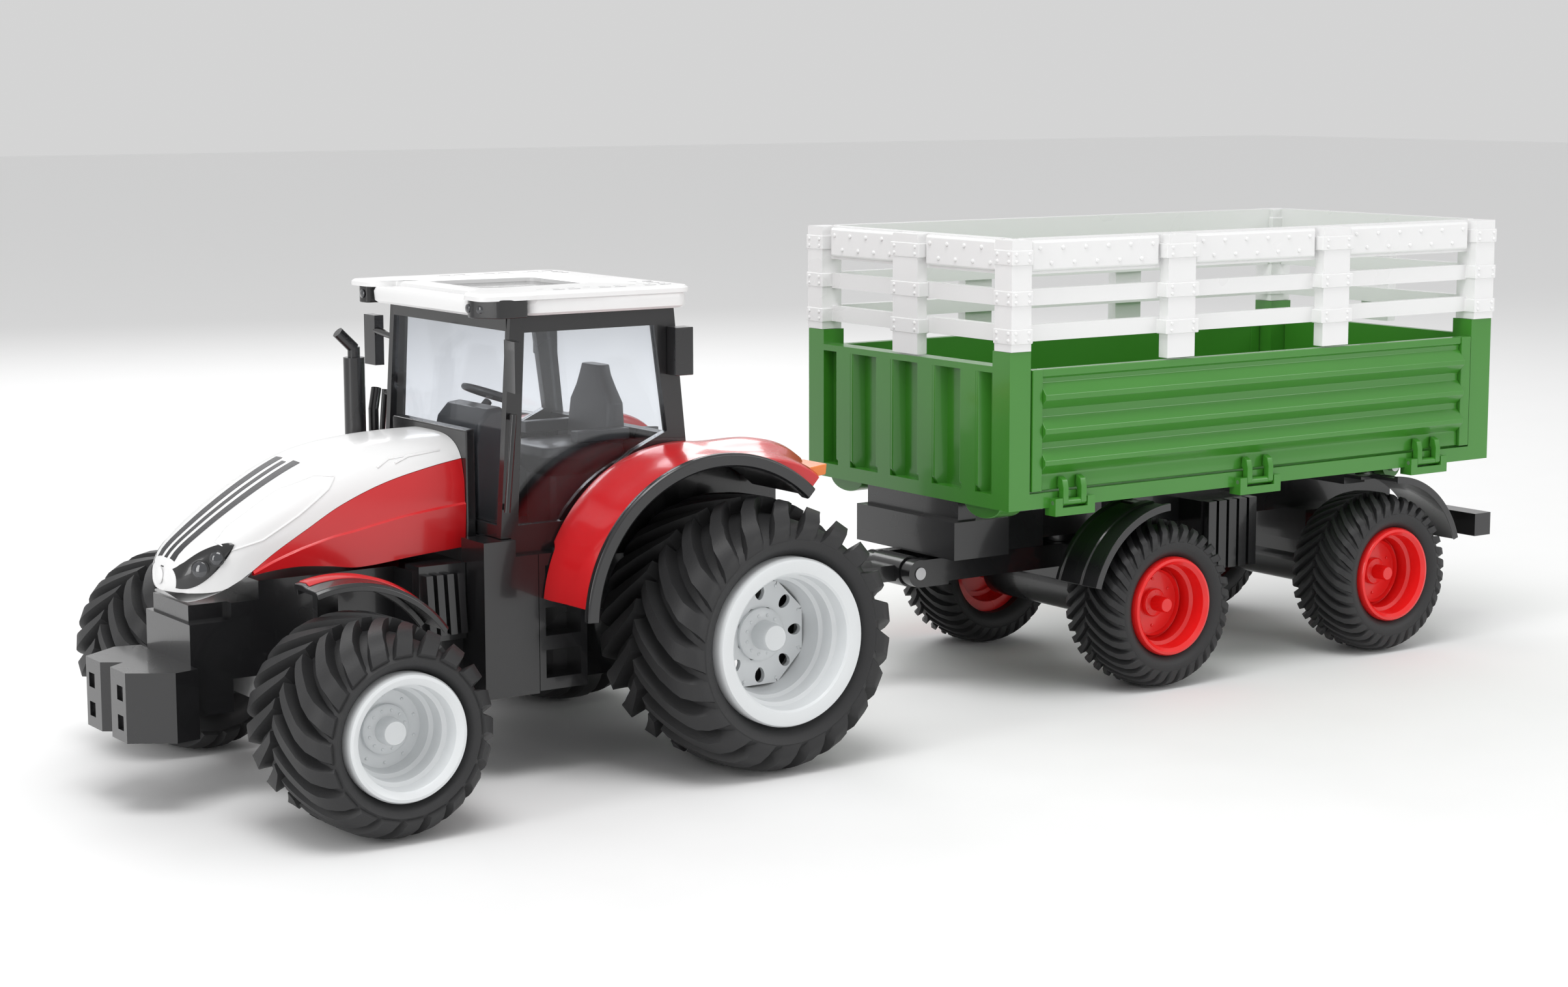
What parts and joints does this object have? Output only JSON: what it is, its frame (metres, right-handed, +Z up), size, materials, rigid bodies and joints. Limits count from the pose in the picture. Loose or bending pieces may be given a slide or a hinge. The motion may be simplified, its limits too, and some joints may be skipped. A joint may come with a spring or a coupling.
{
  "type": "toy tractor",
  "caption": "Toy farm tractor with glazed cab and steering front wheels, towing a tipping trailer with drop sides and a lift-out stake rack.",
  "frame": {"origin": "centre of the bounding box in plan, at ground level under the tyres", "axes": "+X towards the tractor's nose, +Y towards the tractor's left side, +Z up"},
  "size_m": [0.498, 0.1668, 0.146],
  "materials": {
    "white_plastic": "gloss",
    "red_plastic": "gloss",
    "black_plastic": "semi gloss",
    "rubber": "satin",
    "green_plastic": "gloss",
    "trailer_red": "gloss",
    "rim_white": "gloss",
    "steel": "satin",
    "clear": "clear",
    "lamp_black": "gloss",
    "dark_grey": "matt"
  },
  "bodies": {
    "tractor": {"chassis_tub": "black_plastic", "front_weight": "black_plastic", "front_axle_beam": "black_plastic", "kingpins": "steel", "hood": "white_plastic", "hood_panels": "red_plastic", "headlamps": "lamp_black", "engine_vents": "black_plastic", "side_tanks": "black_plastic", "cab_steps": "black_plastic", "exhaust_stack": "black_plastic", "intake_pipe": "black_plastic", "cab_floor": "dark_grey", "cab_frame": "black_plastic", "cab_glass": "clear", "cab_roof": "white_plastic", "work_lamps": "lamp_black", "dashboard": "dark_grey", "steering_wheel": "dark_grey", "seat": "dark_grey", "side_mirrors": "black_plastic", "grab_handles": "black_plastic", "rear_fenders": "red_plastic", "fender_lips": "black_plastic", "rear_hitch": "black_plastic", "hitch_pin": "steel"},
    "rear_wheels": {"rear_axle_shaft": "steel", "rear_rims": "rim_white", "rear_tyres": "rubber"},
    "steer_left": {"knuckle_left": "black_plastic", "front_fender_left": "red_plastic"},
    "steer_right": {"knuckle_right": "black_plastic", "front_fender_right": "red_plastic"},
    "front_wheel_left": {"front_rim_left": "rim_white", "front_tyre_left": "rubber"},
    "front_wheel_right": {"front_rim_right": "rim_white", "front_tyre_right": "rubber"},
    "tie_rod": {"tie_rod": "black_plastic"},
    "drawbar": {"drawbar": "black_plastic", "drawbar_pin": "steel"},
    "dolly": {"dolly_frame": "black_plastic", "dolly_fenders": "black_plastic"},
    "dolly_wheels": {"trailer_front_axle": "steel", "trailer_front_rims": "trailer_red", "trailer_front_tyres": "rubber"},
    "trailer": {"trailer_chassis": "black_plastic", "trailer_pins": "steel", "trailer_rear_fenders": "black_plastic", "rear_bumper": "black_plastic", "side_boxes": "black_plastic"},
    "trailer_rear_wheels": {"trailer_rear_axle": "steel", "trailer_rear_rims": "trailer_red", "trailer_rear_tyres": "rubber"},
    "bed": {"bed": "green_plastic", "hinge_pins": "steel"},
    "gate_left": {"side_gate_left": "green_plastic"},
    "gate_right": {"side_gate_right": "green_plastic"},
    "tailgate": {"tailgate": "green_plastic"},
    "rack": {"rack_sides": "white_plastic", "rack_ends": "white_plastic"}
  },
  "joints": [
    {"name": "rear_wheels_spin", "type": "hinge", "parent": "tractor", "child": "rear_wheels", "pos_m": [0.081, 0, 0.0385], "axis": [0, 1, 0], "continuous": true},
    {"name": "steer_left_turn", "type": "hinge", "parent": "tractor", "child": "steer_left", "pos_m": [0.201, 0.032, 0.028], "axis": [0, 0, 1], "range_deg": [-20, 20]},
    {"name": "steer_right_turn", "type": "hinge", "parent": "tractor", "child": "steer_right", "pos_m": [0.201, -0.032, 0.028], "axis": [0, 0, 1], "range_deg": [-20, 20]},
    {"name": "tie_rod_slide", "type": "slide", "parent": "tractor", "child": "tie_rod", "axis": [0, 1, 0], "range_m": [-0.0045, 0.0045]},
    {"name": "front_left_spin", "type": "hinge", "parent": "steer_left", "child": "front_wheel_left", "pos_m": [0.201, 0.06, 0.028], "axis": [0, 1, 0], "continuous": true},
    {"name": "front_right_spin", "type": "hinge", "parent": "steer_right", "child": "front_wheel_right", "pos_m": [0.201, -0.06, 0.028], "axis": [0, 1, 0], "continuous": true},
    {"name": "drawbar_yaw", "type": "hinge", "parent": "tractor", "child": "drawbar", "pos_m": [0.035, 0, 0.038], "axis": [0, 0, 1], "range_deg": [-35, 35]},
    {"name": "dolly_pitch", "type": "hinge", "parent": "drawbar", "child": "dolly", "pos_m": [-0.0155, 0, 0.0384], "axis": [0, 1, 0], "range_deg": [-6, 6]},
    {"name": "dolly_wheels_spin", "type": "hinge", "parent": "dolly", "child": "dolly_wheels", "pos_m": [-0.084, 0, 0.027], "axis": [0, 1, 0], "continuous": true},
    {"name": "turntable_yaw", "type": "hinge", "parent": "dolly", "child": "trailer", "pos_m": [-0.084, 0, 0.044], "axis": [0, 0, 1], "range_deg": [-20, 20]},
    {"name": "trailer_rear_spin", "type": "hinge", "parent": "trailer", "child": "trailer_rear_wheels", "pos_m": [-0.185, 0, 0.027], "axis": [0, 1, 0], "continuous": true},
    {"name": "bed_tip", "type": "hinge", "parent": "trailer", "child": "bed", "pos_m": [-0.219, 0, 0.058], "axis": [0, -1, 0], "range_deg": [0, 35]},
    {"name": "gate_left_drop", "type": "hinge", "parent": "bed", "child": "gate_left", "pos_m": [-0.126, 0.0546, 0.0645], "axis": [-1, 0, 0], "range_deg": [0, 90]},
    {"name": "gate_right_drop", "type": "hinge", "parent": "bed", "child": "gate_right", "pos_m": [-0.126, -0.0546, 0.0645], "axis": [1, 0, 0], "range_deg": [0, 90]},
    {"name": "tailgate_drop", "type": "hinge", "parent": "bed", "child": "tailgate", "pos_m": [-0.2349, 0, 0.0645], "axis": [0, -1, 0], "range_deg": [0, 80]},
    {"name": "rack_lift", "type": "slide", "parent": "bed", "child": "rack", "axis": [0, 0, 1], "range_m": [0, 0.045]}
  ],
  "couplings": [
    {"joint": "steer_right_turn", "follows": "steer_left_turn", "ratio": 1},
    {"joint": "tie_rod_slide", "follows": "steer_left_turn", "m_per_rad": -0.012}
  ]
}
